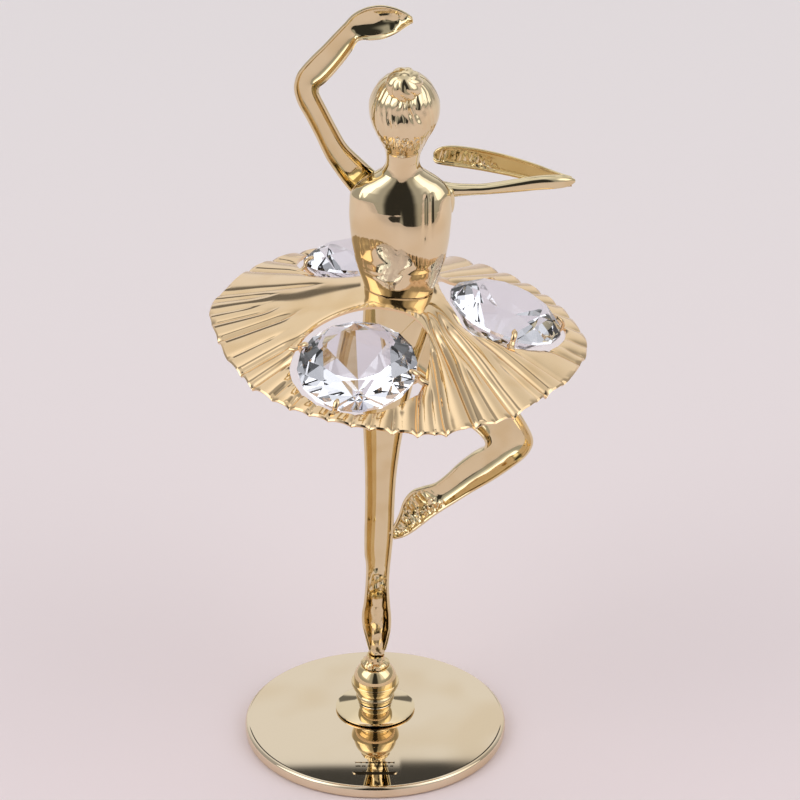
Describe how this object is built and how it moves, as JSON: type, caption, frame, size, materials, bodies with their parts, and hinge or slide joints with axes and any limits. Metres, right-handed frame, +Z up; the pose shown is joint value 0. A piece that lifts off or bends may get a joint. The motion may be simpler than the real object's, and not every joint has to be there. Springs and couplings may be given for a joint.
{
  "type": "ballerina figurine",
  "caption": "Gold-plated cast ballerina en pointe on a round polished stand, with clear cut crystals held by claws in a pleated metal tutu.",
  "frame": {"origin": "centre of the stand's underside", "axes": "+Z up, +Y the way the dancer looks, +X to the dancer's right"},
  "size_m": [0.084, 0.0854, 0.1817],
  "materials": {
    "stand_disc": "mirror-polished pale gold plate",
    "cone_foot": "turned and polished gold plate",
    "ball_stem": "turned and polished gold plate",
    "legs": "cast, plated in gold, bright but uneven",
    "front_body": "cast, plated in gold, bright but uneven",
    "back_shell": "cast, polished and plated in gold",
    "tutu": "pressed sheet, pleated, polished and plated in gold",
    "crystal_1": "clear cut crystal",
    "crystal_2": "clear cut crystal",
    "crystal_3": "clear cut crystal"
  },
  "bodies": {
    "root": {"stand_disc": "stand_disc", "cone_foot": "cone_foot", "ball_stem": "ball_stem", "legs": "legs", "front_body": "front_body", "back_shell": "back_shell", "tutu": "tutu", "crystal_1": "crystal_1", "crystal_2": "crystal_2", "crystal_3": "crystal_3"}
  },
  "joints": []
}
